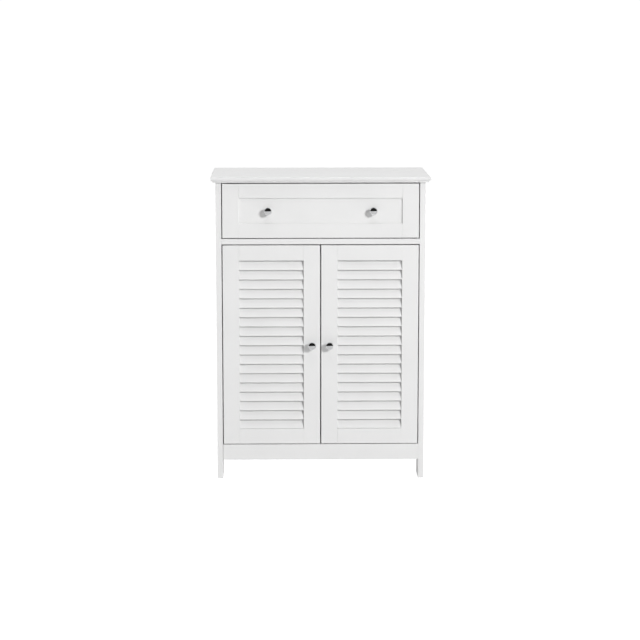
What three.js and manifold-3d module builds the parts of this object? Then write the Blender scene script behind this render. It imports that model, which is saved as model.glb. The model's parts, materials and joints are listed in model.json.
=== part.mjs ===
// Louvred door cabinet: a small white cupboard with one drawer over two louvred doors.
// Millimetres, +Z up, +X to the right as seen from the front, the front faces -Y.
// Origin: on the floor, in the middle of the width and of the whole depth, knobs included.
import * as THREE from 'three';
import { mergeVertices } from 'three/addons/utils/BufferGeometryUtils.js';
import Module from 'manifold-3d';

const wasm = await Module();
wasm.setup();

// ---------------------------------------------------------------- driving dimensions
const HEIGHT = 837;            // floor to the top's upper face
const CARCASS_W = 571;         // over the two side panels
const CARCASS_D = 326;         // front edge to back edge of a side panel
const BOARD = 15;              // carcass boards
const OVERHANG = 14;           // top past the carcass: front, left and right
const FRONT = -151;            // Y of the carcass front edges, and of the door and drawer faces
const BACK = FRONT + CARCASS_D;
const SIDE_GAP = 2.5;          // reveals round the doors and the drawer front
const MIDDLE_GAP = 3;
const DOOR_TOP_GAP = 2.75;
const DOOR_BOTTOM_GAP = 2;
const DRAWER_BOTTOM_GAP = 2.5;
const DRAWER_TOP_GAP = 3.5;

const FOOT_H = 53;             // clear height under the apron
const FOOT_D = 76;             // each foot, front to back
const APRON_H = 43;
const BACK_T = 3;              // back panel
const REBATE = 8;              // rebate width for the back panel, the drawer's panel and the door rails
const LOUVRE_REBATE = 4.5;     // rebate in the door stiles for the louvres' end strips

const DOOR_T = 18;
const DOOR_H = 552.25;
const DOOR_RAIL = 42;
const STILE = 45;
const DRAWER_RAIL = 39.5;
const PANEL_RECESS = 4;        // drawer panel behind the frame's face
const SLATS = 18;
const SLAT_T = 5;              // measured square to the slat
const SLAT_LIP = 1.0;          // lower lip behind the frame's face
const SLAT_TOP = 10;           // face depth where the next slat hides it

const KNOB_R = 11;
const KNOB_L = 24;
const DRAWER_KNOB_X = 143.5;
const SCREW_R = 1.9;

const RUNNER_Z = 672;          // underside of the cabinet runners
const ROLLER_R = 7;
const DRAWER_SIDE_T = 12;
const DRAWER_SIDE_H = 100;
const DRAWER_DEPTH = 285;      // drawer box behind its front

const SHELF_Z = 360;           // underside of the shelf
const PIN_R = 2.5;
const HINGE_FROM_END = 85;     // hinge centre to the door's top or bottom edge
const CUP_R = 17.5;
const HINGE_X = 269.5;         // hinge axis: in the side gap, on the front face
const PIN_U = 22;              // hinge link pin, from the side panel's inner face
const PIN_V = 13;              // hinge link pin, behind the front face

// ---------------------------------------------------------------- derived
const XO = CARCASS_W / 2;                  // 285.5
const XI = XO - BOARD;                     // 270.5
const TOP_Z = HEIGHT - BOARD;              // 822
const APRON_Z = FOOT_H;                    // 53
const FLOOR_Z = APRON_Z + APRON_H;         // 96
const DOOR_Z0 = FLOOR_Z + DOOR_BOTTOM_GAP;               // 98
const DOOR_Z1 = DOOR_Z0 + DOOR_H;                        // 650.25
const DIVIDER_Z = DOOR_Z1 + DOOR_TOP_GAP;                // 653
const DRAWER_Z0 = DIVIDER_Z + BOARD + DRAWER_BOTTOM_GAP; // 670.5
const DRAWER_Z1 = TOP_Z - DRAWER_TOP_GAP;                // 818.5
const INNER_BACK = BACK - BACK_T - 0.25;   // boards stop just short of the back panel
const DOOR_X0 = MIDDLE_GAP / 2;            // 1.5
const DOOR_X1 = XI - SIDE_GAP;             // 268

// ---------------------------------------------------------------- materials
const mat = (color, roughness, metalness = 0) => new THREE.MeshStandardMaterial({ color, roughness, metalness });
const WHITE = 0xefefed, INSIDE = 0xeeeeec, STEEL = 0xb9bcc0, CHROME = 0xd8dadd, NYLON = 0xf2f2ee, HDF = 0xe6e3dc;

// ---------------------------------------------------------------- helpers
function plain(geo) {
  const g = geo.index ? geo.toNonIndexed() : geo.clone();
  for (const key of Object.keys(g.attributes)) if (key !== 'position') g.deleteAttribute(key);
  return mergeVertices(g, 1e-4);
}
// a closed geometry whose faces point out
function outward(geo) {
  const g = plain(geo);
  const p = g.attributes.position, idx = g.index.array;
  let volume = 0;
  for (let i = 0; i < idx.length; i += 3) {
    const [a, b, c] = [idx[i], idx[i + 1], idx[i + 2]];
    const ax = p.getX(a), ay = p.getY(a), az = p.getZ(a);
    const bx = p.getX(b), by = p.getY(b), bz = p.getZ(b);
    const cx = p.getX(c), cy = p.getY(c), cz = p.getZ(c);
    volume += ax * (by * cz - bz * cy) - ay * (bx * cz - bz * cx) + az * (bx * cy - by * cx);
  }
  if (volume < 0) for (let i = 0; i < idx.length; i += 3) [idx[i + 1], idx[i + 2]] = [idx[i + 2], idx[i + 1]];
  return g;
}
function solid(geo) {
  const g = outward(geo);
  return new wasm.Manifold(new wasm.Mesh({
    numProp: 3,
    vertProperties: new Float32Array(g.attributes.position.array),
    triVerts: new Uint32Array(g.index.array),
  }));
}
function geometry(manifold) {
  const m = manifold.getMesh();
  const g = new THREE.BufferGeometry();
  g.setAttribute('position', new THREE.BufferAttribute(new Float32Array(m.vertProperties), 3));
  g.setIndex(new THREE.BufferAttribute(new Uint32Array(m.triVerts), 1));
  return g;
}
const join = (first, ...rest) => rest.reduce((m, g) => m.add(solid(g)), solid(first));
const cut = (m, ...tools) => tools.reduce((r, g) => r.subtract(solid(g)), m);

// box from its lowest and highest corners
function box(x0, x1, y0, y1, z0, z1) {
  return new THREE.BoxGeometry(x1 - x0, y1 - y0, z1 - z0)
    .translate((x0 + x1) / 2, (y0 + y1) / 2, (z0 + z1) / 2);
}
// cylinder from one end to the other along an axis
function rod(axis, radius, from, to, a, b, segments = 24) {
  const g = new THREE.CylinderGeometry(radius, radius, to - from, segments).translate(0, (from + to) / 2, 0);
  if (axis === 'x') return g.rotateZ(-Math.PI / 2).translate(0, a, b);
  if (axis === 'y') return g.translate(a, 0, b);
  return g.rotateX(Math.PI / 2).translate(a, b, 0);
}
// outline in (p, q) pulled along a third axis between two values
function prism(points, axis, from, to) {
  const shape = new THREE.Shape(points.map(([p, q]) => new THREE.Vector2(p, q)));
  const g = new THREE.ExtrudeGeometry(shape, { depth: to - from, bevelEnabled: false }).translate(0, 0, from);
  const pos = g.attributes.position;
  for (let i = 0; i < pos.count; i++) {
    const p = pos.getX(i), q = pos.getY(i), r = pos.getZ(i);
    if (axis === 'x') pos.setXYZ(i, r, p, q);       // outline in (y, z)
    else if (axis === 'y') pos.setXYZ(i, p, r, q);  // outline in (x, z)
    else pos.setXYZ(i, p, q, r);                    // outline in (x, y)
  }
  return outward(g);
}
function mirrored(geo) {
  const g = plain(geo);
  const pos = g.attributes.position;
  for (let i = 0; i < pos.count; i++) pos.setX(i, -pos.getX(i));
  return outward(g);
}
function add(group, name, geo, material) {
  const g = outward(geo);
  g.computeBoundingBox();
  const c = g.boundingBox.getCenter(new THREE.Vector3());
  c.set(Math.round(c.x * 4) / 4, Math.round(c.y * 4) / 4, Math.round(c.z * 4) / 4);
  g.translate(-c.x, -c.y, -c.z);
  const shaded = g.toNonIndexed();
  shaded.computeVertexNormals();
  const mesh = new THREE.Mesh(shaded, material);
  mesh.name = name;
  mesh.position.copy(c);
  group.add(mesh);
  return mesh;
}

const cabinet = new THREE.Group();
cabinet.name = 'louvred_door_cabinet';
const carcass = new THREE.Group();
const drawer = new THREE.Group();
const leftDoor = new THREE.Group();
const rightDoor = new THREE.Group();
cabinet.add(carcass, drawer, leftDoor, rightDoor);

// ---------------------------------------------------------------- top with its moulded edge
// how far each level stands out past the carcass, from the underside up
const EDGE = [
  [8, 0], [8, 4.25], [8.5, 4.5], [10.15, 4.83], [11.54, 5.76], [12.47, 7.15], [12.8, 8.8],
  [12.8, 9.5], [14, 9.75], [14, 13], [13.4, 14.4], [12, 15],
];
{
  const verts = [], idx = [];
  EDGE.forEach(([out, z]) => {
    const x = XO + out, y0 = FRONT - out;
    verts.push(-x, y0, TOP_Z + z, x, y0, TOP_Z + z, x, BACK, TOP_Z + z, -x, BACK, TOP_Z + z);
  });
  for (let i = 0; i + 1 < EDGE.length; i++) for (let k = 0; k < 4; k++) {
    const a = 4 * i + k, b = 4 * i + (k + 1) % 4;
    idx.push(a, b, b + 4, a, b + 4, a + 4);
  }
  const t = 4 * (EDGE.length - 1);
  idx.push(0, 2, 1, 0, 3, 2, t, t + 1, t + 2, t, t + 2, t + 3);
  const g = new THREE.BufferGeometry();
  g.setAttribute('position', new THREE.Float32BufferAttribute(verts, 3));
  g.setIndex(idx);
  add(carcass, 'top_panel', g, mat(WHITE, 0.38));
}

// ---------------------------------------------------------------- side panels, each with two feet
const PIN_Y = [FRONT + 50, BACK - 50];
const PIN_Z = SHELF_Z - PIN_R - 0.1;
function sidePanel() {
  const r = 14, y0 = FRONT + FOOT_D, y1 = BACK - FOOT_D;
  const outline = [[FRONT, 0], [y0, 0], [y0, FOOT_H - r]];
  for (let i = 1; i <= 4; i++) {
    const t = (i / 4) * Math.PI / 2;
    outline.push([y0 + r - r * Math.cos(t), FOOT_H - r + r * Math.sin(t)]);
  }
  for (let i = 0; i <= 4; i++) {
    const t = (i / 4) * Math.PI / 2;
    outline.push([y1 - r + r * Math.sin(t), FOOT_H - r + r * Math.cos(t)]);
  }
  outline.push([y1, 0], [BACK, 0], [BACK, TOP_Z], [FRONT, TOP_Z]);
  let m = solid(prism(outline, 'x', XI, XO));
  m = cut(m, box(XI - 5, XI + REBATE, BACK - BACK_T - 0.25, BACK + 5, 80.75, TOP_Z + 5));
  for (const y of PIN_Y) for (let k = -2; k <= 2; k++)
    m = cut(m, rod('x', PIN_R + 0.25, XI - 2, XI + 8, y, PIN_Z + 32 * k, 12));
  return geometry(m);
}
add(carcass, 'side_panel_right', sidePanel(), mat(WHITE, 0.38));
add(carcass, 'side_panel_left', mirrored(sidePanel()), mat(WHITE, 0.38));

// ---------------------------------------------------------------- fixed boards
add(carcass, 'divider_panel', box(-XI, XI, FRONT, INNER_BACK, DIVIDER_Z, DIVIDER_Z + BOARD), mat(WHITE, 0.38));
add(carcass, 'bottom_panel', box(-XI, XI, FRONT + BOARD, INNER_BACK, FLOOR_Z - BOARD, FLOOR_Z), mat(WHITE, 0.38));
add(carcass, 'front_apron', box(-XI, XI, FRONT, FRONT + BOARD, APRON_Z, FLOOR_Z), mat(WHITE, 0.38));
add(carcass, 'back_panel', box(-XI - REBATE + 0.5, XI + REBATE - 0.5, BACK - BACK_T, BACK, FLOOR_Z - BOARD, TOP_Z - 0.25), mat(HDF, 0.6));
add(carcass, 'shelf', box(-XI + 1, XI - 1, FRONT + 26, INNER_BACK - 2, SHELF_Z, SHELF_Z + BOARD), mat(INSIDE, 0.4));
[['front_right', 0, 1], ['back_right', 1, 1], ['front_left', 0, -1], ['back_left', 1, -1]].forEach(([name, row, side]) => {
  const g = rod('x', PIN_R, XI - 8, XI + 7.75, PIN_Y[row], PIN_Z, 16);
  add(carcass, `shelf_pin_${name}`, side > 0 ? g : mirrored(g), mat(STEEL, 0.3, 1));
});

// ---------------------------------------------------------------- knobs and their screws
function knob(x, face, z) {
  const profile = [
    [0, 11], [2.15, 11], [2.15, 0], [6.5, 0], [6.5, 1.0], [5.2, 2.4], [4.3, 4.5], [4.1, 8.5], [4.8, 11.2], [7.0, 13.2],
    [9.6, 14.6], [10.8, 16.2], [KNOB_R, 17.8], [10.5, 20.0], [8.7, 22.0], [5.6, 23.4], [2.6, 23.9], [0, KNOB_L],
  ].map(([r, a]) => new THREE.Vector2(r, a));
  // a runs out of the face, towards -Y
  return new THREE.LatheGeometry(profile, 20).rotateX(Math.PI).translate(x, face, z);
}
function knobScrew(x, tip, head, z) {
  const profile = [[0, tip], [SCREW_R, tip], [SCREW_R, head], [4, head], [4, head + 1.2], [3, head + 2.25], [0, head + 2.25]]
    .map(([r, a]) => new THREE.Vector2(r, a));
  return new THREE.LatheGeometry(profile, 12).translate(x, 0, z);
}
const screwHole = (x, y0, y1, z) => rod('y', 2.25, y0, y1, x, z, 12);

// ---------------------------------------------------------------- drawer
const F = FRONT;
const DRAWER_MID = (DRAWER_Z0 + DRAWER_Z1) / 2;
const PANEL_F = F + PANEL_RECESS, PANEL_B = PANEL_F + 12;
{
  const z0 = DRAWER_Z0 + DRAWER_RAIL, z1 = DRAWER_Z1 - DRAWER_RAIL, x0 = DOOR_X1 - STILE;
  let panel = solid(box(-x0 - REBATE + 0.5, x0 + REBATE - 0.5, PANEL_F, PANEL_B, z0 - REBATE + 0.5, z1 + REBATE - 0.5));
  for (const s of [-1, 1]) panel = cut(panel, screwHole(s * DRAWER_KNOB_X, PANEL_F - 2, PANEL_B + 2, DRAWER_MID));
  add(drawer, 'drawer_front_panel', geometry(panel), mat(WHITE, 0.38));
  const rebateBack = F + DOOR_T + 5;
  const stile = geometry(cut(solid(box(x0, DOOR_X1, F, F + DOOR_T, DRAWER_Z0, DRAWER_Z1)),
    box(x0 - 5, x0 + REBATE, PANEL_F, rebateBack, z0 - REBATE, z1 + REBATE)));
  add(drawer, 'drawer_front_stile_right', stile, mat(WHITE, 0.38));
  add(drawer, 'drawer_front_stile_left', mirrored(stile), mat(WHITE, 0.38));
  add(drawer, 'drawer_front_rail_top', geometry(cut(solid(box(-x0, x0, F, F + DOOR_T, z1, DRAWER_Z1)),
    box(-x0 - 5, x0 + 5, PANEL_F, rebateBack, z1 - 5, z1 + REBATE))), mat(WHITE, 0.38));
  add(drawer, 'drawer_front_rail_bottom', geometry(cut(solid(box(-x0, x0, F, F + DOOR_T, DRAWER_Z0, z0)),
    box(-x0 - 5, x0 + 5, PANEL_F, rebateBack, z0 - REBATE, z0 + 5))), mat(WHITE, 0.38));
}
const SIDE_X1 = XI - 12.5, SIDE_X0 = SIDE_X1 - DRAWER_SIDE_T;   // drawer side: 246 to 258
const BOX_Y0 = F + DOOR_T, BOX_Y1 = BOX_Y0 + DRAWER_DEPTH;
const SIDE_Z0 = RUNNER_Z + 5, SIDE_Z1 = SIDE_Z0 + DRAWER_SIDE_H;
const DBOT_Z = SIDE_Z0 + 4;
{
  const side = geometry(cut(solid(box(SIDE_X0, SIDE_X1, BOX_Y0, BOX_Y1, SIDE_Z0, SIDE_Z1)),
    box(SIDE_X0 - 5, SIDE_X0 + 4, BOX_Y0 - 5, BOX_Y1 + 5, DBOT_Z - 0.25, DBOT_Z + 3.25)));
  add(drawer, 'drawer_side_right', side, mat(INSIDE, 0.45));
  add(drawer, 'drawer_side_left', mirrored(side), mat(INSIDE, 0.45));
  add(drawer, 'drawer_back', box(-SIDE_X0, SIDE_X0, BOX_Y1 - 12, BOX_Y1, DBOT_Z + 3.25, SIDE_Z1), mat(INSIDE, 0.45));
  add(drawer, 'drawer_bottom', box(-SIDE_X0 - 3.75, SIDE_X0 + 3.75, BOX_Y0, BOX_Y1, DBOT_Z, DBOT_Z + 3), mat(HDF, 0.6));
}
for (const s of [-1, 1]) {
  const tag = s > 0 ? 'right' : 'left';
  add(drawer, `drawer_knob_${tag}`, knob(s * DRAWER_KNOB_X, PANEL_F, DRAWER_MID), mat(CHROME, 0.08, 1));
  add(drawer, `drawer_knob_screw_${tag}`, knobScrew(s * DRAWER_KNOB_X, PANEL_F - 10, PANEL_B, DRAWER_MID), mat(STEEL, 0.35, 1));
}

// ---------------------------------------------------------------- drawer runners and their rollers
const FRONT_ROLLER_Y = -120, REAR_ROLLER_Y = 141;
const FRONT_ROLLER_Z = RUNNER_Z + 9, REAR_ROLLER_Z = RUNNER_Z + 8.5;
{
  const y0 = F + 20, y1 = BACK - 10;
  // channel, open towards the drawer, screwed flat against the side panel
  const channel = prism([[XI, RUNNER_Z], [XI, RUNNER_Z + 20], [XI - 8.5, RUNNER_Z + 20], [XI - 8.5, RUNNER_Z + 18.75],
    [XI - 1.25, RUNNER_Z + 18.75], [XI - 1.25, RUNNER_Z + 1.25], [XI - 11, RUNNER_Z + 1.25], [XI - 11, RUNNER_Z]], 'y', y0, y1);
  const cabinetRunner = geometry(join(channel, rod('x', 2, XI - 10.25, XI - 1, FRONT_ROLLER_Y, FRONT_ROLLER_Z, 12)));
  add(carcass, 'cabinet_runner_right', cabinetRunner, mat(STEEL, 0.4, 0.8));
  add(carcass, 'cabinet_runner_left', mirrored(cabinetRunner), mat(STEEL, 0.4, 0.8));
  // angle under the drawer side, with a flange that rides on the front roller
  const wx = SIDE_X1, rz = RUNNER_Z;
  const angle = prism([[wx - 11.5, rz + 3.75], [wx + 1.25, rz + 3.75], [wx + 1.25, rz + 16.25], [wx + 9, rz + 16.25], [wx + 9, rz + 17.5],
    [wx, rz + 17.5], [wx, rz + 5], [wx - 11.5, rz + 5]], 'y', BOX_Y0 + 1, BOX_Y1 - 1);
  const drawerRunner = geometry(join(angle, rod('x', 2, wx + 1, wx + 10.25, REAR_ROLLER_Y, REAR_ROLLER_Z, 12)));
  add(drawer, 'drawer_runner_right', drawerRunner, mat(STEEL, 0.4, 0.8));
  add(drawer, 'drawer_runner_left', mirrored(drawerRunner), mat(STEEL, 0.4, 0.8));
}
function roller(y, z) {
  const w = 3.25, profile = [[2.25, -w], [6.2, -w], [ROLLER_R, -w + 1], [ROLLER_R, w - 1], [6.2, w], [2.25, w], [2.25, -w]]
    .map(([r, a]) => new THREE.Vector2(r, a));
  return new THREE.LatheGeometry(profile, 20).rotateZ(-Math.PI / 2).translate(XI - 6.25, y, z);
}
add(carcass, 'cabinet_roller_right', roller(FRONT_ROLLER_Y, FRONT_ROLLER_Z), mat(NYLON, 0.5));
add(carcass, 'cabinet_roller_left', mirrored(roller(FRONT_ROLLER_Y, FRONT_ROLLER_Z)), mat(NYLON, 0.5));
add(drawer, 'drawer_roller_right', roller(REAR_ROLLER_Y, REAR_ROLLER_Z), mat(NYLON, 0.5));
add(drawer, 'drawer_roller_left', mirrored(roller(REAR_ROLLER_Y, REAR_ROLLER_Z)), mat(NYLON, 0.5));

// ---------------------------------------------------------------- doors (made as the right one, then mirrored)
const DOOR_MID = (DOOR_Z0 + DOOR_Z1) / 2;
const OPEN_Z0 = DOOR_Z0 + DOOR_RAIL, OPEN_Z1 = DOOR_Z1 - DOOR_RAIL;
const OPEN_X0 = DOOR_X0 + STILE, OPEN_X1 = DOOR_X1 - STILE;
const LIP = 6;                                  // frame in front of its rebate
const KNOB_X = DOOR_X0 + STILE / 2;
const HINGE_Z = [['upper', DOOR_Z1 - HINGE_FROM_END], ['lower', DOOR_Z0 + HINGE_FROM_END]];
const U = u => XI - u, V = v => FRONT + v;      // from the side panel inwards, and from the front face back
const CUP_U = 24.5;

const doorPieces = {};
{
  const back = F + DOOR_T + 5;
  let hingeStile = cut(solid(box(OPEN_X1, DOOR_X1, F, F + DOOR_T, DOOR_Z0, DOOR_Z1)),
    box(OPEN_X1 - 5, OPEN_X1 + LOUVRE_REBATE, F + LIP, back, OPEN_Z0 - REBATE, OPEN_Z1 + REBATE));
  for (const [, z] of HINGE_Z) hingeStile = cut(hingeStile, rod('y', CUP_R + 0.25, V(5.5), back, U(CUP_U), z, 32));
  let meetingStile = cut(solid(box(DOOR_X0, OPEN_X0, F, F + DOOR_T, DOOR_Z0, DOOR_Z1)),
    box(OPEN_X0 - LOUVRE_REBATE, OPEN_X0 + 5, F + LIP, back, OPEN_Z0 - REBATE, OPEN_Z1 + REBATE),
    screwHole(KNOB_X, F - 2, back, DOOR_MID));
  doorPieces.door_stile_hinge = [geometry(hingeStile), mat(WHITE, 0.38)];
  doorPieces.door_stile_meeting = [geometry(meetingStile), mat(WHITE, 0.38)];
  doorPieces.door_rail_top = [geometry(cut(solid(box(OPEN_X0, OPEN_X1, F, F + DOOR_T, OPEN_Z1, DOOR_Z1)),
    box(OPEN_X0 - 5, OPEN_X1 + 5, F + LIP, back, OPEN_Z1 - 5, OPEN_Z1 + REBATE))), mat(WHITE, 0.38)];
  doorPieces.door_rail_bottom = [geometry(cut(solid(box(OPEN_X0, OPEN_X1, F, F + DOOR_T, DOOR_Z0, OPEN_Z0)),
    box(OPEN_X0 - 5, OPEN_X1 + 5, F + LIP, back, OPEN_Z0 - REBATE, OPEN_Z0 + 5))), mat(WHITE, 0.38)];

  // louvres: each slat leans back as it rises, and its top tucks behind the slat above
  const pitch = (OPEN_Z1 - OPEN_Z0) / SLATS;
  const lean = (SLAT_TOP - SLAT_LIP) / pitch;
  const through = SLAT_T * Math.sqrt(1 + lean * lean);
  const tuck = 5.5;
  let louvre = join(box(OPEN_X0 - LOUVRE_REBATE + 0.5, OPEN_X0 + 0.5, V(LIP + 0.25), V(DOOR_T - 0.25), OPEN_Z0 - REBATE + 0.5, OPEN_Z1 + REBATE - 0.5),
    box(OPEN_X1 - 0.5, OPEN_X1 + LOUVRE_REBATE - 0.5, V(LIP + 0.25), V(DOOR_T - 0.25), OPEN_Z0 - REBATE + 0.5, OPEN_Z1 + REBATE - 0.5));
  for (let i = 0; i < SLATS; i++) {
    const z = OPEN_Z0 + i * pitch + (i === 0 ? 0.25 : 0), z1 = OPEN_Z0 + (i + 1) * pitch + tuck;
    const f = zz => SLAT_LIP + lean * (zz - (OPEN_Z0 + i * pitch));
    louvre = louvre.add(solid(prism([[V(f(z)), z + 0.4], [V(f(z) + 0.4), z], [V(f(z) + through), z],
      [V(f(z1) + through), z1], [V(f(z1)), z1]], 'x', OPEN_X0 + 0.25, OPEN_X1 - 0.25)));
  }
  doorPieces.door_louvres = [geometry(louvre), mat(WHITE, 0.38)];
  doorPieces.door_knob = [knob(KNOB_X, F, DOOR_MID), mat(CHROME, 0.08, 1)];
  doorPieces.door_knob_screw = [knobScrew(KNOB_X, F - 10, F + DOOR_T, DOOR_MID), mat(STEEL, 0.35, 1)];
}

// concealed cup hinges
const hingePieces = {};
for (const [tag, z] of HINGE_Z) {
  const flange = [V(DOOR_T), V(DOOR_T + 1.2)];
  let cup = join(rod('y', CUP_R, V(5.75), flange[1], U(CUP_U), z, 32),
    rod('y', 19, flange[0], flange[1], U(CUP_U), z, 32),
    box(U(36), U(15), flange[0], flange[1], z - 30, z + 30),
    box(U(12), U(2.5), flange[0], flange[1], z - 7, z + 7));
  cup = cut(cup, rod('y', CUP_R - 1, V(6.5), V(DOOR_T + 5), U(CUP_U), z, 32));
  doorPieces[`hinge_cup_${tag}`] = [geometry(cup), mat(STEEL, 0.3, 1)];

  // arm on its plate, with a forked nose that holds the link's pin
  const nose = [];
  for (let i = 0; i <= 8; i++) {
    const t = Math.PI * i / 8;
    nose.push([U(PIN_U - 2.5 * Math.cos(t)), V(PIN_V - 2.5 * Math.sin(t))]);
  }
  const armOutline = [...nose, [U(24.5), V(31)], [U(9), V(47.5)], [U(9), V(92)], [U(1.5), V(92)], [U(1.5), V(43)], [U(5.5), V(43)], [U(19.5), V(28)]];
  let arm = join(prism(armOutline, 'z', z - 5, z + 5), box(U(2), U(0), V(44), V(80), z - 20, z + 20));
  arm = cut(arm, box(U(26), U(18), V(8), V(17), z - 3, z + 3), rod('z', 1.5, z - 8, z + 8, U(PIN_U), V(PIN_V), 12));
  hingePieces[`hinge_arm_${tag}`] = [geometry(arm), mat(STEEL, 0.3, 1)];

  // link: eye and pin in the fork, leaf lying in the cup when the door is shut
  const eye = [], cx = PIN_U, cy = PIN_V, dx = 15.5, dy = 1.6, len = Math.hypot(dx, dy), ux = dx / len, uy = dy / len;
  for (let i = 0; i < 16; i++) eye.push([U(cx + 2.5 * Math.cos(i * Math.PI / 8)), V(cy + 2.5 * Math.sin(i * Math.PI / 8))]);
  const leaf = (from, to, half) => [[from, -half], [to, -half], [to, half], [from, half]]
    .map(([a, b]) => [U(cx + ux * a - uy * b), V(cy + uy * a + ux * b)]);
  const link = join(prism(eye, 'z', z - 2.7, z + 2.7), prism(leaf(0, len + 1, 1.2), 'z', z - 2.7, z + 2.7),
    prism(leaf(3.4, len + 1, 1.2), 'z', z - 6, z + 6), rod('z', 1.2, z - 5, z + 5, U(PIN_U), V(PIN_V), 12));
  hingePieces[`hinge_link_${tag}`] = [geometry(link), mat(STEEL, 0.3, 1)];
}
for (const [name, [geo, material]] of Object.entries(doorPieces)) {
  add(rightDoor, `right_${name}`, geo, material);
  add(leftDoor, `left_${name}`, mirrored(geo), material.clone());
}
for (const [name, [geo, material]] of Object.entries(hingePieces)) {
  add(carcass, `right_${name}`, geo, material);
  add(carcass, `left_${name}`, mirrored(geo), material.clone());
}

export default cabinet;
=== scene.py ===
import json
import math
import bmesh
import bpy
from mathutils import Matrix, Vector


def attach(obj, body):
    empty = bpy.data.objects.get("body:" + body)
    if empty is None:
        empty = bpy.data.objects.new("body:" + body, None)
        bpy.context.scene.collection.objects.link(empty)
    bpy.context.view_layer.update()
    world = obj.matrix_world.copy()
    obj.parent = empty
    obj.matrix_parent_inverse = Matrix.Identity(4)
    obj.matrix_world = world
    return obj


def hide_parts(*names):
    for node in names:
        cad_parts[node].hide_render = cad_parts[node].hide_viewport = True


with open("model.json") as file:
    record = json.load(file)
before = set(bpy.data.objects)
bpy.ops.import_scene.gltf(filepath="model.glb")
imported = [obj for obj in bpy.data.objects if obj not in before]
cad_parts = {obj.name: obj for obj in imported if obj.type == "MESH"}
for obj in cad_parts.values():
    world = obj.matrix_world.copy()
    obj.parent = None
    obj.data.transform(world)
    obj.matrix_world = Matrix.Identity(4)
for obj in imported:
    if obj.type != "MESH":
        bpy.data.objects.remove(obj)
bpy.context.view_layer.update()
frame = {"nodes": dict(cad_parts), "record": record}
nodes = frame["nodes"]
scene = bpy.context.scene
MM = 0.001

# ------------------------------------------------------------------ dimensions shared with the frame, in mm
FRONT, BACK = -151.0, 175.0
XO, XI = 285.5, 270.5
TOP_Z, HEIGHT = 822.0, 837.0
DOOR_X0, DOOR_X1, DOOR_Z0, DOOR_Z1 = 1.5, 268.0, 98.0, 650.25
STILE, RAIL, DOOR_T = 45.0, 42.0, 18.0
OPEN_X0, OPEN_X1 = DOOR_X0 + STILE, DOOR_X1 - STILE
OPEN_Z0, OPEN_Z1 = DOOR_Z0 + RAIL, DOOR_Z1 - RAIL
DRAWER_Z0, DRAWER_Z1, DRAWER_RAIL = 670.5, 818.5, 39.5
KNOB_X, KNOB_Z, DRAWER_KNOB_X, DRAWER_KNOB_Z = 24.0, 374.125, 143.5, 744.5
HINGE_Z = {"upper": 565.25, "lower": 183.0}


# ------------------------------------------------------------------ materials
def new_material(name):
    m = bpy.data.materials.new(name)
    m.use_nodes = True
    nt = m.node_tree
    nt.nodes.clear()
    out = nt.nodes.new("ShaderNodeOutputMaterial")
    bsdf = nt.nodes.new("ShaderNodeBsdfPrincipled")
    nt.links.new(bsdf.outputs[0], out.inputs[0])
    return m, nt, bsdf


def noise(nt, scale, detail=2.0, rough=0.5, stretch=None):
    tc = nt.nodes.new("ShaderNodeTexCoord")
    n = nt.nodes.new("ShaderNodeTexNoise")
    n.inputs["Scale"].default_value = scale
    n.inputs["Detail"].default_value = detail
    n.inputs["Roughness"].default_value = rough
    if stretch:
        mp = nt.nodes.new("ShaderNodeMapping")
        mp.inputs["Scale"].default_value = stretch
        nt.links.new(tc.outputs["Object"], mp.inputs[0])
        nt.links.new(mp.outputs[0], n.inputs[0])
    else:
        nt.links.new(tc.outputs["Object"], n.inputs[0])
    return n.outputs["Fac"]


def ramp(nt, src, lo, hi, a, b):
    r = nt.nodes.new("ShaderNodeMapRange")
    r.inputs["From Min"].default_value = lo
    r.inputs["From Max"].default_value = hi
    r.inputs["To Min"].default_value = a
    r.inputs["To Max"].default_value = b
    nt.links.new(src, r.inputs["Value"])
    return r.outputs[0]


def mix_colour(nt, fac, a, b):
    m = nt.nodes.new("ShaderNodeMix")
    m.data_type = "RGBA"
    if isinstance(fac, float):
        m.inputs[0].default_value = fac
    else:
        nt.links.new(fac, m.inputs[0])
    for sock, v in ((m.inputs[6], a), (m.inputs[7], b)):
        if isinstance(v, tuple):
            sock.default_value = (*v, 1)
        else:
            nt.links.new(v, sock)
    return m.outputs[2]


def bump(nt, height, distance, strength=1.0, normal=None):
    b = nt.nodes.new("ShaderNodeBump")
    b.inputs["Strength"].default_value = strength
    b.inputs["Distance"].default_value = distance
    nt.links.new(height, b.inputs["Height"])
    if normal is not None:
        nt.links.new(normal, b.inputs["Normal"])
    return b.outputs[0]


def lacquer(name, colour, dark, rough, peel=0.00004):
    m, nt, b = new_material(name)
    cloud = noise(nt, 9.0, 3.0, 0.55)
    nt.links.new(mix_colour(nt, ramp(nt, cloud, 0.35, 0.65, 0, 1), colour, dark), b.inputs["Base Color"])
    mottle = noise(nt, 60.0, 3.0, 0.6)
    nt.links.new(ramp(nt, mottle, 0.3, 0.7, rough - 0.05, rough + 0.06), b.inputs["Roughness"])
    orange = noise(nt, 520.0, 2.0, 0.5)
    swell = noise(nt, 70.0, 1.0, 0.5)
    n1 = bump(nt, swell, 0.00012, 0.5)
    nt.links.new(bump(nt, orange, peel, 0.8, n1), b.inputs["Normal"])
    b.inputs["Specular IOR Level"].default_value = 0.5
    return m


def board(name, colour, dark, rough):
    m, nt, b = new_material(name)
    cloud = noise(nt, 14.0, 3.0, 0.6)
    nt.links.new(mix_colour(nt, ramp(nt, cloud, 0.35, 0.65, 0, 1), colour, dark), b.inputs["Base Color"])
    nt.links.new(ramp(nt, noise(nt, 90.0, 2.0), 0.3, 0.7, rough - 0.05, rough + 0.07), b.inputs["Roughness"])
    nt.links.new(bump(nt, noise(nt, 900.0, 3.0, 0.6), 0.00006, 0.9), b.inputs["Normal"])
    return m


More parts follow.
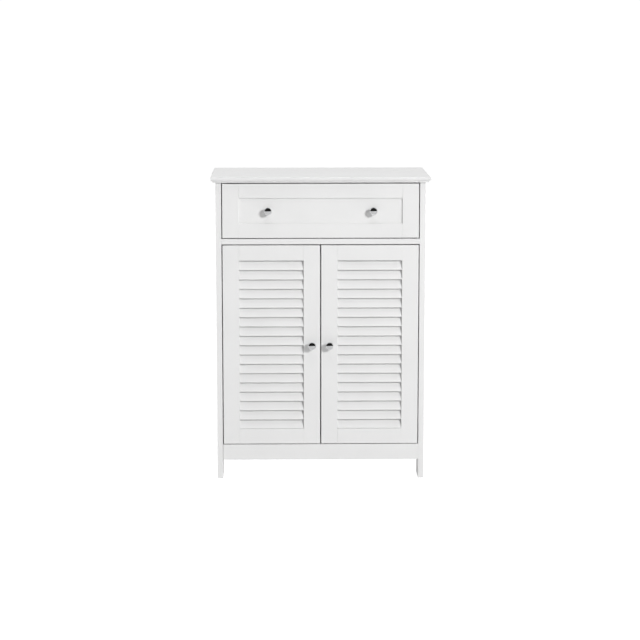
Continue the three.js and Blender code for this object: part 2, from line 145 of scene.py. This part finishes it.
def hardboard(name, colour, dark, rough):
    m, nt, b = new_material(name)
    fibre = noise(nt, 260.0, 5.0, 0.7, (1.0, 1.0, 0.35))
    cloud = noise(nt, 7.0, 3.0, 0.6)
    base = mix_colour(nt, ramp(nt, cloud, 0.35, 0.65, 0, 1), colour, dark)
    nt.links.new(mix_colour(nt, ramp(nt, fibre, 0.52, 0.75, 0.0, 0.35), base, tuple(c * 0.82 for c in dark)), b.inputs["Base Color"])
    nt.links.new(ramp(nt, fibre, 0.3, 0.7, rough - 0.08, rough + 0.1), b.inputs["Roughness"])
    nt.links.new(bump(nt, fibre, 0.0001, 0.7), b.inputs["Normal"])
    return m


def metal(name, colour, rough, spread, scratch=0.0, stretch=None, scale=300.0, metallic=1.0):
    m, nt, b = new_material(name)
    b.inputs["Metallic"].default_value = metallic
    n = noise(nt, scale, 3.0, 0.6, stretch)
    nt.links.new(ramp(nt, n, 0.3, 0.7, max(0.02, rough - spread), rough + spread), b.inputs["Roughness"])
    nt.links.new(mix_colour(nt, ramp(nt, noise(nt, 40.0), 0.3, 0.7, 0, 1), colour, tuple(c * 0.94 for c in colour)), b.inputs["Base Color"])
    if scratch:
        nt.links.new(bump(nt, n, scratch, 0.6), b.inputs["Normal"])
    return m


def nylon(name):
    m, nt, b = new_material(name)
    nt.links.new(mix_colour(nt, ramp(nt, noise(nt, 60.0), 0.3, 0.7, 0, 1), (0.72, 0.72, 0.69), (0.66, 0.66, 0.63)), b.inputs["Base Color"])
    nt.links.new(ramp(nt, noise(nt, 200.0), 0.3, 0.7, 0.42, 0.55), b.inputs["Roughness"])
    b.inputs["Subsurface Weight"].default_value = 0.1
    b.inputs["Subsurface Radius"].default_value = (0.004, 0.004, 0.004)
    return m


MAT = {
    "white_lacquer": lacquer("white_lacquer", (0.805, 0.805, 0.803), (0.785, 0.785, 0.783), 0.36),
    "inside_board": board("inside_board", (0.79, 0.79, 0.785), (0.765, 0.765, 0.76), 0.46),
    "hardboard": hardboard("hardboard", (0.77, 0.765, 0.75), (0.73, 0.722, 0.70), 0.6),
    "chrome": metal("chrome", (0.80, 0.805, 0.815), 0.05, 0.015),
    "steel": metal("steel", (0.72, 0.73, 0.745), 0.24, 0.06, metallic=0.82, scale=160.0),
    "runner_steel": lacquer("runner_steel", (0.74, 0.74, 0.73), (0.70, 0.70, 0.69), 0.32, 0.00003),
    "nylon": nylon("nylon"),
}
slot_of = {s["node"]: s["material_slot"] for s in frame["record"]["subparts"]}
body_of = {n: b for b, ns in frame["record"]["behaviour"]["bodies"].items() for n in ns}
for name, obj in nodes.items():
    obj.data.materials.clear()
    obj.data.materials.append(MAT[slot_of[name]])


# ------------------------------------------------------------------ mesh helpers
def sharp_angle(e):
    if len(e.link_faces) != 2:
        return math.pi
    return e.link_faces[0].normal.angle(e.link_faces[1].normal, 0.0)


def from_bmesh(bm, name):
    me = bpy.data.meshes.new(name)
    bm.to_mesh(me)
    bm.free()
    obj = bpy.data.objects.new(name, me)
    scene.collection.objects.link(obj)
    return obj


def bake_modifiers(obj):
    bpy.context.view_layer.update()
    dg = bpy.context.evaluated_depsgraph_get()
    me = bpy.data.meshes.new_from_object(obj.evaluated_get(dg), preserve_all_data_layers=True, depsgraph=dg)
    old = obj.data
    obj.modifiers.clear()
    obj.data = me
    bpy.data.meshes.remove(old)
    me.name = obj.name
    return obj


def hole_rims(sharp, limit=0.045):
    """sharp edges that close a small loop, such as the rim of a drilled hole"""
    at = {}
    for e in sharp:
        for v in e.verts:
            at.setdefault(v, []).append(e)
    seen, rims = set(), set()
    for start in sharp:
        if start in seen:
            continue
        seen.add(start)
        loop, todo = [], [start]
        while todo:
            e = todo.pop()
            loop.append(e)
            for v in e.verts:
                for other in at[v]:
                    if other not in seen:
                        seen.add(other)
                        todo.append(other)
        verts = {v for e in loop for v in e.verts}
        size = max(max(v.co[k] for v in verts) - min(v.co[k] for v in verts) for k in range(3))
        if size < limit and all(len(at[v]) == 2 for v in verts):
            rims.update(loop)
    return rims


def ease(bm, name, width, segments=3, weight=None, angle=32.0):
    """rounds the sharp edges of a closed mesh, drilled holes left out; weight(edge) scales the radius"""
    bmesh.ops.recalc_face_normals(bm, faces=bm.faces)
    layer = bm.edges.layers.float.new("bevel_weight_edge")
    for f in bm.faces:
        f.smooth = True
    sharp = [e for e in bm.edges if sharp_angle(e) > math.radians(angle)]
    rims = hole_rims(sharp)
    for e in sharp:
        if e in rims:
            e.smooth = False
        else:
            e[layer] = 1.0 if weight is None else weight(e)
    obj = from_bmesh(bm, name)
    mod = obj.modifiers.new("ease", "BEVEL")
    mod.limit_method = "WEIGHT"
    mod.width = width
    mod.segments = segments
    mod.face_strength_mode = "FSTR_ALL"
    mod.miter_outer = "MITER_ARC"
    mod = obj.modifiers.new("normals", "WEIGHTED_NORMAL")
    mod.mode = "FACE_AREA"
    mod.weight = 100
    mod.keep_sharp = True
    mod.use_face_influence = True
    return bake_modifiers(obj)


def cad_bmesh(node):
    bm = bmesh.new()
    bm.from_mesh(nodes[node].data)
    bmesh.ops.remove_doubles(bm, verts=bm.verts, dist=3e-6)
    bmesh.ops.dissolve_limit(bm, angle_limit=math.radians(1.0), verts=bm.verts, edges=bm.edges)
    return bm


def stand_in(obj, node, *more):
    obj.data.materials.clear()
    obj.data.materials.append(MAT[slot_of[node]])
    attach(obj, body_of[node])
    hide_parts(node, *more)
    return obj


def split_at(bm, axis, values):
    for v in values:
        co, no = [0, 0, 0], [0, 0, 0]
        co[axis] = v
        no[axis] = 1
        bmesh.ops.bisect_plane(bm, geom=bm.verts[:] + bm.edges[:] + bm.faces[:], dist=1e-7, plane_co=co, plane_no=no)


# ------------------------------------------------------------------ painted boards with eased edges
def refine(node, width, segments=3, weight=None, splits=()):
    bm = cad_bmesh(node)
    for axis, values in splits:
        split_at(bm, axis, values)
    return stand_in(ease(bm, node + "_eased", width, segments, weight), node)


for n in ("side_panel_left", "side_panel_right", "divider_panel", "bottom_panel", "shelf"):
    refine(n, 0.0008)
# the apron's joints show as fine lines, and the left one stands a little open
bm = cad_bmesh("front_apron")
for v in bm.verts:
    v.co.x += 0.0007 if v.co.x < 0 else -0.0001
stand_in(ease(bm, "front_apron_eased", 0.0008), "front_apron")
for n in ("drawer_side_left", "drawer_side_right", "drawer_back"):
    refine(n, 0.0006)
refine("drawer_front_panel", 0.0003, 2)


def frame_weight(x_joints, z_joints, joint=0.3):
    """edges that close a stile to rail joint stay crisp; the others are eased"""
    def w(e):
        a, b = e.verts[0].co / MM, e.verts[1].co / MM
        mid = (a + b) / 2
        for xj in x_joints:
            if abs(abs(a.x) - xj) < 0.2 and abs(abs(b.x) - xj) < 0.2:
                if any(lo - 0.1 <= mid.z <= hi + 0.1 for lo, hi in z_joints):
                    return joint
        return 1.0
    return w


door_w = frame_weight((OPEN_X0, OPEN_X1), ((DOOR_Z0, OPEN_Z0), (OPEN_Z1, DOOR_Z1)), 0.5)
drawer_x = DOOR_X1 - STILE
drawer_w = frame_weight((drawer_x,), ((DRAWER_Z0, DRAWER_Z0 + DRAWER_RAIL), (DRAWER_Z1 - DRAWER_RAIL, DRAWER_Z1)))
for side in ("left", "right"):
    for part in ("stile_hinge", "stile_meeting"):
        refine(f"{side}_door_{part}", 0.001, 3, door_w, ((2, (OPEN_Z0 * MM, OPEN_Z1 * MM)),))
    for part in ("rail_top", "rail_bottom"):
        refine(f"{side}_door_{part}", 0.001, 3, door_w)
    refine(f"drawer_front_stile_{side}", 0.001, 3, drawer_w,
           ((2, ((DRAWER_Z0 + DRAWER_RAIL) * MM, (DRAWER_Z1 - DRAWER_RAIL) * MM)),))
for part in ("rail_top", "rail_bottom"):
    refine(f"drawer_front_{part}", 0.001, 3, drawer_w)


# ------------------------------------------------------------------ moulded top
def arc(cx, cz, r, a0, a1, n):
    return [(cx + r * math.cos(math.radians(a0 + (a1 - a0) * i / n)), cz + r * math.sin(math.radians(a0 + (a1 - a0) * i / n))) for i in range(n + 1)]


def top_profile():
    """how far each level stands past the carcass, from the underside up"""
    p = [(7.6, 0.0), (8.1, 0.1), (8.3, 0.4), (8.3, 3.6), (8.42, 3.83), (8.7, 3.95)]
    p += arc(8.9, 8.5, 4.55, -90, 0, 12)
    p += [(13.48, 8.72), (13.56, 8.84), (13.82, 8.88), (13.95, 8.98), (14.0, 9.2), (14.0, 13.2)]
    p += arc(12.4, 13.4, 1.6, 4, 90, 8)
    return p


def moulded_top():
    bm = bmesh.new()
    rings = []
    for out, z in top_profile():
        x, y0, zz = (XO + out) * MM, (FRONT - out) * MM, (TOP_Z + z) * MM
        rings.append([bm.verts.new(v) for v in ((-x, y0, zz), (x, y0, zz), (x, BACK * MM, zz), (-x, BACK * MM, zz))])
    for a, b in zip(rings, rings[1:]):
        for k in range(4):
            bm.faces.new((a[k], a[(k + 1) % 4], b[(k + 1) % 4], b[k]))
    bm.faces.new(rings[0][::-1])
    bm.faces.new(rings[-1])
    bmesh.ops.recalc_face_normals(bm, faces=bm.faces)
    for f in bm.faces:
        f.smooth = True
    for e in bm.edges:
        if sharp_angle(e) > math.radians(38):
            e.smooth = False
    obj = from_bmesh(bm, "top_panel_moulded")
    mod = obj.modifiers.new("normals", "WEIGHTED_NORMAL")
    mod.keep_sharp = True
    mod.weight = 60
    return bake_modifiers(obj)


stand_in(moulded_top(), "top_panel")


# ------------------------------------------------------------------ louvres: separate slats with a rounded nose
def louvre_set(side):
    s = 1 if side == "right" else -1
    pitch = (OPEN_Z1 - OPEN_Z0) / 18
    lip_y, top_y, thick = 0.4, 10.0, 5.0
    lean = (top_y - lip_y) / pitch
    through = thick * math.sqrt(1 + lean * lean)
    bm = bmesh.new()

    def prism(outline, x0, x1):
        lo = [bm.verts.new((s * x0 * MM, (FRONT + v) * MM, z * MM)) for v, z in outline]
        hi = [bm.verts.new((s * x1 * MM, (FRONT + v) * MM, z * MM)) for v, z in outline]
        n = len(outline)
        for i in range(n):
            bm.faces.new((lo[i], lo[(i + 1) % n], hi[(i + 1) % n], hi[i]))
        bm.faces.new(lo[::-1])
        bm.faces.new(hi)

    for i in range(18):
        base = OPEN_Z0 + i * pitch
        z0 = base + (0.25 if i == 0 else -0.5)
        z1 = base + pitch + 5.5
        f = lambda z: lip_y + lean * (z - base)
        # rounded nose, tangent to the sloping face and to the flat underside
        r, slope = 1.3, math.degrees(math.atan(lean))
        nose = arc(f(z0 + r) + r * math.sqrt(1 + lean * lean), z0 + r, r, 180 - slope, 270, 10)
        outline = [(f(z1), z1), (f(z0 + 4.0), z0 + 4.0)] + nose + [(f(z0) + through, z0), (f(z1) + through, z1)]
        prism(outline, OPEN_X0 + 0.25, OPEN_X1 - 0.25)
    bmesh.ops.recalc_face_normals(bm, faces=bm.faces)
    for f_ in bm.faces:
        f_.smooth = True
    for e in bm.edges:
        if sharp_angle(e) > math.radians(35):
            e.smooth = False
    slats = from_bmesh(bm, f"{side}_door_slats")
    mod = slats.modifiers.new("normals", "WEIGHTED_NORMAL")
    mod.keep_sharp = True
    bake_modifiers(slats)
    stand_in(slats, f"{side}_door_louvres")
    for tag, x0, x1 in (("inner", OPEN_X0 - 4.0, OPEN_X0 + 0.25), ("outer", OPEN_X1 - 0.25, OPEN_X1 + 4.0)):
        bm = bmesh.new()
        bmesh.ops.create_cube(bm, size=1.0)
        for v in bm.verts:
            v.co = Vector((s * ((x0 + x1) / 2 + v.co.x * (x1 - x0)) * MM,
                           (FRONT + 12.0 + v.co.y * 11.5) * MM,
                           ((OPEN_Z0 + OPEN_Z1) / 2 + v.co.z * (OPEN_Z1 - OPEN_Z0 + 15.0)) * MM))
        strip = ease(bm, f"{side}_slat_strip_{tag}", 0.0004, 2)
        strip.data.materials.append(MAT["white_lacquer"])
        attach(strip, f"{side}_door")


louvre_set("left")
louvre_set("right")


# ------------------------------------------------------------------ turned pieces
def turned(bm, profile, origin, direction, segments=64, ring=False):
    """profile: (radius, distance along direction), from the axis to the axis, or round a ring"""
    d = Vector(direction).normalized()
    side = d.orthogonal().normalized()
    up = d.cross(side)
    rings = []
    for r, a in profile:
        c = Vector(origin) + d * a
        if r < 1e-6:
            rings.append([bm.verts.new(c * MM)])
        else:
            rings.append([bm.verts.new((c + (side * math.cos(2 * math.pi * k / segments) + up * math.sin(2 * math.pi * k / segments)) * r) * MM) for k in range(segments)])
    for a, b in zip(rings, rings[1:] + rings[:1] if ring else rings[1:]):
        for k in range(segments):
            k2 = (k + 1) % segments
            if len(a) == 1 and len(b) > 1:
                bm.faces.new((a[0], b[k2], b[k]))
            elif len(b) == 1 and len(a) > 1:
                bm.faces.new((a[k], a[k2], b[0]))
            elif len(a) > 1:
                bm.faces.new((a[k], a[k2], b[k2], b[k]))


def finish_piece(bm, name, angle=40.0):
    bmesh.ops.recalc_face_normals(bm, faces=bm.faces)
    for f in bm.faces:
        f.smooth = True
    for e in bm.edges:
        if sharp_angle(e) > math.radians(angle):
            e.smooth = False
    return from_bmesh(bm, name)


def lathe(name, profile, origin, direction, segments=64, ring=False):
    bm = bmesh.new()
    turned(bm, profile, origin, direction, segments, ring)
    return finish_piece(bm, name)


def smooth_profile(points, steps=5):
    """Catmull-Rom through the points, ends kept"""
    out = []
    p = [points[0]] + points + [points[-1]]
    for i in range(1, len(p) - 2):
        for k in range(steps):
            t = k / steps
            q = []
            for j in (0, 1):
                a, b, c, d = p[i - 1][j], p[i][j], p[i + 1][j], p[i + 2][j]
                q.append(0.5 * (2 * b + (c - a) * t + (2 * a - 5 * b + 4 * c - d) * t * t + (3 * b - a - 3 * c + d) * t ** 3))
            out.append(tuple(q))
    out.append(points[-1])
    return out


HEAD = smooth_profile([(4.2, 5.2), (4.05, 7.4), (4.7, 10.2), (6.9, 12.3), (9.4, 13.7), (10.7, 15.1), (10.98, 16.7),
                       (10.55, 18.9), (9.0, 21.2), (6.2, 22.95), (3.1, 23.78)], 4)


def knob_profile():
    p = [(0.0, 11.0), (2.15, 11.0), (2.15, 0.0), (6.1, 0.0), (6.45, 0.12), (6.5, 0.4), (6.5, 0.9), (6.3, 1.25),
         (5.7, 1.7), (5.0, 2.5), (4.45, 3.8)]
    p += HEAD + [(1.2, 23.97), (0.0, 24.0)]
    return p


for side, s in (("left", -1), ("right", 1)):
    k = lathe(f"{side}_door_knob_turned", knob_profile(), (s * KNOB_X, FRONT, KNOB_Z), (0, -1, 0))
    stand_in(k, f"{side}_door_knob")
    k = lathe(f"drawer_knob_{side}_turned", knob_profile(), (s * DRAWER_KNOB_X, FRONT + 4, DRAWER_KNOB_Z), (0, -1, 0))
    stand_in(k, f"drawer_knob_{side}")



# ------------------------------------------------------------------ fittings
def bridge(bm, a, b):
    n = len(a)
    for i in range(n):
        bm.faces.new((a[i], a[(i + 1) % n], b[(i + 1) % n], b[i]))


def fill(bm, *loops):
    """flat face between an outer loop and the loops inside it"""
    edges = []
    for loop in loops:
        for i in range(len(loop)):
            pair = (loop[i], loop[(i + 1) % len(loop)])
            edges.append(bm.edges.get(pair) or bm.edges.new(pair))
    bmesh.ops.triangle_fill(bm, edges=edges, use_beauty=True)


def screw_head(bm, seat, out, r, h, depth=None, turn=20.0):
    """rounded head with a cross recess, standing on its seat; all in mm"""
    d = Vector(out).normalized()
    a = d.orthogonal().normalized()
    b = d.cross(a)
    c = Vector(seat)
    depth = depth or 0.7 * h

    def at(p, q, up):
        return bm.verts.new((c + a * p + b * q + d * up) * MM)

    def ring(rad, up, n=28):
        return [at(rad * math.cos(2 * math.pi * k / n), rad * math.sin(2 * math.pi * k / n), up) for k in range(n)]

    loops = [ring(r, 0.0), ring(r, 0.3 * h), ring(0.965 * r, 0.55 * h), ring(0.87 * r, 0.8 * h), ring(0.74 * r, 0.94 * h), ring(0.62 * r, h)]
    for lo, hi in zip(loops, loops[1:]):
        bridge(bm, lo, hi)
    bm.faces.new(loops[0][::-1])

    def cross(scale, up):
        arm, w = 0.52 * r * scale, 0.13 * r * scale
        flat = [(arm, -w), (arm, w), (w, w), (w, arm), (-w, arm), (-w, w), (-arm, w), (-arm, -w), (-w, -w), (-w, -arm), (w, -arm), (w, -w)]
        t = math.radians(turn)
        return [at(p * math.cos(t) - q * math.sin(t), p * math.sin(t) + q * math.cos(t), up) for p, q in flat]

    rim, low = cross(1.0, h), cross(0.7, h - depth)
    bridge(bm, rim, low)
    bm.faces.new(low)
    fill(bm, loops[-1], rim)


def fitting(bm, name, body, slot):
    """a piece of its own that stands for no CAD node"""
    obj = finish_piece(bm, name)
    obj.data.materials.append(MAT[slot])
    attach(obj, body)
    return obj


def rounded(u, w, cu, cw, hu, hw, r):
    """inside a rounded rectangle"""
    du, dw = abs(u - cu) - (hu - r), abs(w - cw) - (hw - r)
    return math.hypot(max(du, 0), max(dw, 0)) + min(max(du, dw), 0) <= r


CUP_U, CUP_RINGS = 24.5, 80


def flange_radius(angle):
    """from the cup's centre to the flange's edge"""
    lo, hi = 10.0, 45.0
    for _ in range(30):
        mid = (lo + hi) / 2
        u, w = CUP_U + mid * math.cos(angle), mid * math.sin(angle)
        inside = mid <= 19.0 or rounded(u, w, 25.5, 0, 10.5, 30.0, 6.5) or rounded(u, w, 8.75, 0, 6.25, 7.0, 1.6)
        lo, hi = (mid, hi) if inside else (lo, mid)
    return lo


FLANGE = [flange_radius(2 * math.pi * k / CUP_RINGS) for k in range(CUP_RINGS)]


def hinge_cup(side, tag):
    s, z = (1 if side == "right" else -1), HINGE_Z[tag]
    bm = bmesh.new()

    def loop(v, radius):
        out = []
        for k in range(CUP_RINGS):
            t = 2 * math.pi * k / CUP_RINGS
            r = radius if isinstance(radius, float) else FLANGE[k] + radius[0]
            out.append(bm.verts.new(Vector((s * (XI - CUP_U - r * math.cos(t)), FRONT + v, z + r * math.sin(t))) * MM))
        return out

    # from the cup's outer bottom up the wall, round the flange, over the rim and down inside
    levels = [(5.8, 15.6), (5.95, 16.6), (6.6, 17.3), (7.6, 17.45), (18.0, 17.45), (18.0, [-0.25]), (18.1, [-0.05]), (18.6, [0.0]), (18.8, [-0.1]), (18.9, [-0.4]),
              (18.9, 17.5), (18.98, 17.25), (19.15, 17.05), (19.2, 16.8), (19.12, 16.55), (18.9, 16.45), (8.6, 16.4), (7.5, 16.0), (7.0, 15.0), (6.9, 13.6),
              (6.9, 9.2), (7.0, 8.9), (7.35, 8.7), (7.45, 8.3)]
    loops = [loop(v, r) for v, r in levels]
    for a, b in zip(loops, loops[1:]):
        bridge(bm, a, b)
    bm.faces.new(loops[0])
    bm.faces.new(loops[-1])
    for k in (-1, 1):
        screw_head(bm, (s * (XI - 25.5), FRONT + 18.9, z + k * 24.0), (0, 1, 0), 3.8, 0.3, 0.9, 20 + 25 * k)
    stand_in(finish_piece(bm, f"{side}_hinge_cup_{tag}_pressed"), f"{side}_hinge_cup_{tag}")


def hinge_screws(side, tag):
    s, z = (1 if side == "right" else -1), HINGE_Z[tag]
    bm = bmesh.new()
    for u, v, w, r, h in ((9.0, 61.0, 0.0, 3.0, 0.8), (9.0, 82.0, 0.0, 3.9, 1.5), (2.0, 62.0, 14.5, 3.7, 1.3), (2.0, 62.0, -14.5, 3.7, 1.3)):
        screw_head(bm, (s * (XI - u), FRONT + v, z + w), (-s, 0, 0), r, h, None, 12 + 3.1 * v + 2.0 * w)
    fitting(bm, f"{side}_hinge_screws_{tag}", "root", "steel")


for side in ("left", "right"):
    for tag in ("upper", "lower"):
        hinge_cup(side, tag)
        refine(f"{side}_hinge_arm_{tag}", 0.0005)
        refine(f"{side}_hinge_link_{tag}", 0.00035, 2)
        hinge_screws(side, tag)


# runners, their screws and the rollers
RUNNER_Z, DRAWER_SIDE_X = 672.0, 258.0
for side, s in (("left", -1), ("right", 1)):
    refine(f"cabinet_runner_{side}", 0.0003, 2)
    refine(f"drawer_runner_{side}", 0.0003, 2)
    bm = bmesh.new()
    for i, y in enumerate((-75.0, 15.0, 110.0)):
        screw_head(bm, (s * (XI - 1.25), y, RUNNER_Z + 10), (-s, 0, 0), 3.2, 1.1, None, 15 + 28 * i)
    fitting(bm, f"cabinet_runner_screws_{side}", "root", "steel")
    bm = bmesh.new()
    for i, y in enumerate((-105.0, -10.0, 100.0)):
        screw_head(bm, (s * (DRAWER_SIDE_X + 1.25), y, RUNNER_Z + 10.5), (s, 0, 0), 3.0, 0.9, None, 40 + 21 * i)
    fitting(bm, f"drawer_runner_screws_{side}", "drawer", "steel")
    tyre = [(2.25, -3.25), (3.7, -3.25), (3.95, -3.0), (4.1, -2.6), (5.3, -2.6), (5.5, -3.0), (5.8, -3.25), (6.3, -3.25), (6.75, -3.05),
            (6.95, -2.6), (7.0, -1.2), (7.0, 1.2), (6.95, 2.6), (6.75, 3.05), (6.3, 3.25), (5.8, 3.25), (5.5, 3.0), (5.3, 2.6), (4.1, 2.6),
            (3.95, 3.0), (3.7, 3.25), (2.25, 3.25)]
    for kind, y, z in (("cabinet", -120.0, RUNNER_Z + 9), ("drawer", 141.0, RUNNER_Z + 8.5)):
        roller = lathe(f"{kind}_roller_{side}_turned", tyre, (s * (XI - 6.25), y, z), (s, 0, 0), 48, ring=True)
        stand_in(roller, f"{kind}_roller_{side}")

# shelf pins
PIN = [(0.0, 0.0), (1.5, 0.0), (2.15, 0.2), (2.5, 0.75), (2.5, 7.1), (2.42, 7.3), (2.2, 7.4), (2.2, 7.85), (2.42, 7.95), (2.5, 8.15), (2.5, 14.9), (2.2, 15.5), (1.7, 15.75), (0.0, 15.75)]
for side, s in (("left", -1), ("right", 1)):
    for row, y in (("front", FRONT + 50), ("back", BACK - 50)):
        stand_in(lathe(f"shelf_pin_{row}_{side}_turned", PIN, (s * (XI - 8), y, 357.4), (s, 0, 0), 32), f"shelf_pin_{row}_{side}")


# screws that hold the knobs
def knob_screw(name, node, x, tip, head, z):
    bm = bmesh.new()
    turned(bm, [(0.0, 0.0), (1.5, 0.0), (1.9, 0.4), (1.9, head - tip + 0.2), (0.0, head - tip + 0.2)], (x, tip, z), (0, 1, 0), 24)
    screw_head(bm, (x, head, z), (0, 1, 0), 4.0, 2.25, 1.5, 33.0)
    stand_in(finish_piece(bm, name), node)


for side, s in (("left", -1), ("right", 1)):
    knob_screw(f"{side}_door_knob_screw_pan", f"{side}_door_knob_screw", s * KNOB_X, FRONT - 10, FRONT + DOOR_T, KNOB_Z)
    knob_screw(f"drawer_knob_screw_{side}_pan", f"drawer_knob_screw_{side}", s * DRAWER_KNOB_X, FRONT - 6, FRONT + 16, DRAWER_KNOB_Z)

# back panel with its nails, and the drawer's thin bottom
refine("drawer_bottom", 0.0003, 2)
bm = cad_bmesh("back_panel")
for v in bm.verts:
    if v.co.y > (BACK - 1) * MM:
        v.co.y = (BACK - 0.25) * MM
stand_in(ease(bm, "back_panel_eased", 0.0004, 2), "back_panel")
bm = bmesh.new()
spots = [(s * 274.3, 120.0 + 97.0 * i) for s in (-1, 1) for i in range(8)] + [(-240.0 + 96.0 * i, z) for i in range(6) for z in (88.5, 660.5)]
for x, z in spots:
    turned(bm, [(0.0, -0.3), (1.5, -0.3), (1.55, 0.0), (1.35, 0.14), (0.8, 0.22), (0.0, 0.25)], (x, BACK - 0.25, z), (0, 1, 0), 16)
fitting(bm, "back_panel_nails", "root", "steel")

# ------------------------------------------------------------------ stage
floor_mesh = bpy.data.meshes.new("floor")
floor_mesh.from_pydata([(-400, -60, 0), (400, -60, 0), (400, 800, 0), (-400, 800, 0)], [], [(0, 1, 2, 3)])
floor = bpy.data.objects.new("floor", floor_mesh)
scene.collection.objects.link(floor)
fm, nt, b = new_material("pale_floor")
b.inputs["Base Color"].default_value = (0.30, 0.30, 0.30, 1)
b.inputs["Roughness"].default_value = 0.7
b.inputs["Specular IOR Level"].default_value = 0.0
b.inputs["Emission Color"].default_value = (1, 1, 1, 1)
# the floor is seen white to the horizon and throws less light back than that
lp = nt.nodes.new("ShaderNodeLightPath")
bounce = nt.nodes.new("ShaderNodeMix")
nt.links.new(lp.outputs["Is Camera Ray"], bounce.inputs[0])
nt.links.new(ramp(nt, lp.outputs["Is Glossy Ray"], 0, 1, 0.44, 0.38), bounce.inputs[2])
bounce.inputs[3].default_value = 0.95
nt.links.new(bounce.outputs[0], b.inputs["Emission Strength"])
floor_mesh.materials.append(fm)

world = bpy.data.worlds.new("studio")
scene.world = world
world.use_nodes = True
wn = world.node_tree
wn.nodes.clear()
wout = wn.nodes.new("ShaderNodeOutputWorld")
seen = wn.nodes.new("ShaderNodeBackground")
seen.inputs[0].default_value = (1, 1, 1, 1)
seen.inputs[1].default_value = 1.05
amb = wn.nodes.new("ShaderNodeBackground")
amb.inputs[0].default_value = (1, 1, 1, 1)
# a dark studio with a white backdrop behind the object
way = wn.nodes.new("ShaderNodeTexCoord")
xyz = wn.nodes.new("ShaderNodeSeparateXYZ")
wn.links.new(way.outputs["Generated"], xyz.inputs[0])
behind = ramp(wn, xyz.outputs["Y"], 0.1, 0.6, 0, 1)
low = ramp(wn, xyz.outputs["Z"], 0.35, 0.9, 1, 0)
both = wn.nodes.new("ShaderNodeMath")
both.operation = "MULTIPLY"
wn.links.new(behind, both.inputs[0])
wn.links.new(low, both.inputs[1])
lp = wn.nodes.new("ShaderNodeLightPath")
front = ramp(wn, lp.outputs["Is Glossy Ray"], 0, 1, 0.15, 0.018)
level = wn.nodes.new("ShaderNodeMix")
wn.links.new(both.outputs[0], level.inputs[0])
wn.links.new(front, level.inputs[2])
level.inputs[3].default_value = 0.85
wn.links.new(level.outputs[0], amb.inputs[1])
mx = wn.nodes.new("ShaderNodeMixShader")
wn.links.new(lp.outputs["Is Camera Ray"], mx.inputs[0])
wn.links.new(amb.outputs[0], mx.inputs[1])
wn.links.new(seen.outputs[0], mx.inputs[2])
wn.links.new(mx.outputs[0], wout.inputs[0])


def area(name, azimuth, elevation, distance, size, power, glossy=True, size_y=None, target=(0, 0, 0.45)):
    """azimuth from the front (-Y) towards +X"""
    light = bpy.data.lights.new(name, "AREA")
    light.shape = "RECTANGLE"
    light.size = size
    light.size_y = size_y or size
    light.energy = power
    obj = bpy.data.objects.new(name, light)
    a, e = math.radians(azimuth), math.radians(elevation)
    obj.location = Vector(target) + Vector((math.sin(a) * math.cos(e), -math.cos(a) * math.cos(e), math.sin(e))) * distance
    obj.rotation_euler = (Vector(target) - obj.location).to_track_quat("-Z", "Y").to_euler()
    obj.visible_glossy = glossy
    scene.collection.objects.link(obj)
    return obj


area("key", 34, 22, 8.2, 1.3, 446, glossy=False)
area("overhead", 0, 74, 4.6, 2.6, 68, glossy=False)
area("back_top", 180, 70, 4.6, 3.0, 28, glossy=False)
area("left_fill", -98, 14, 4.6, 2.2, 88, glossy=False)

# ------------------------------------------------------------------ camera
cam_data = bpy.data.cameras.new("camera")
cam = bpy.data.objects.new("camera", cam_data)
scene.collection.objects.link(cam)
cam_data.sensor_fit = "HORIZONTAL"
cam_data.sensor_width = 36.0
cam_data.lens = 1992.5959 / 640 * 36.0
cam_data.clip_end = 200.0
cam.location = (-0.1065367, -5.551, 1.2841664)
cam.rotation_euler = (math.pi / 2 - 0.15430, 0.0, -0.01940)
scene.camera = cam
scene.view_settings.view_transform = "Standard"
scene.view_settings.look = "None"
